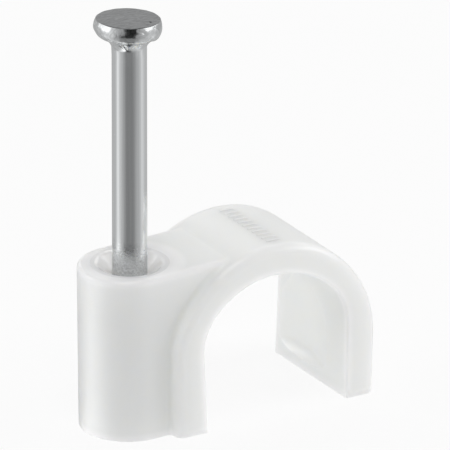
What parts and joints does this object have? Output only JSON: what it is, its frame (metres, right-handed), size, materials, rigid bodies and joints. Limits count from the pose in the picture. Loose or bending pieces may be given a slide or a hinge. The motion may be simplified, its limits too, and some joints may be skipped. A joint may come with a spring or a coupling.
{
  "type": "nail-in cable clip",
  "caption": "Round cable clip of white plastic: a strap arched over the cable, with a bored boss at one side that holds its own steel nail, ready to drive.",
  "frame": {"origin": "where the nail's axis meets the wall face, under the boss", "axes": "+Z along the nail, away from the wall; +X from the boss across the strap to the free leg; Y along the cable"},
  "size_m": [0.0171, 0.0078, 0.0251],
  "materials": {
    "clip_body": "satin moulded plastic, white and slightly translucent",
    "nail": "bright zinc plating, lightly scuffed"
  },
  "bodies": {
    "clip": {"clip_body": "clip_body"},
    "nail": {"nail": "nail"}
  },
  "joints": [
    {"name": "nail_drive", "type": "slide", "parent": "clip", "child": "nail", "axis": [0, 0, -1], "range_m": [0, 0.014]}
  ]
}
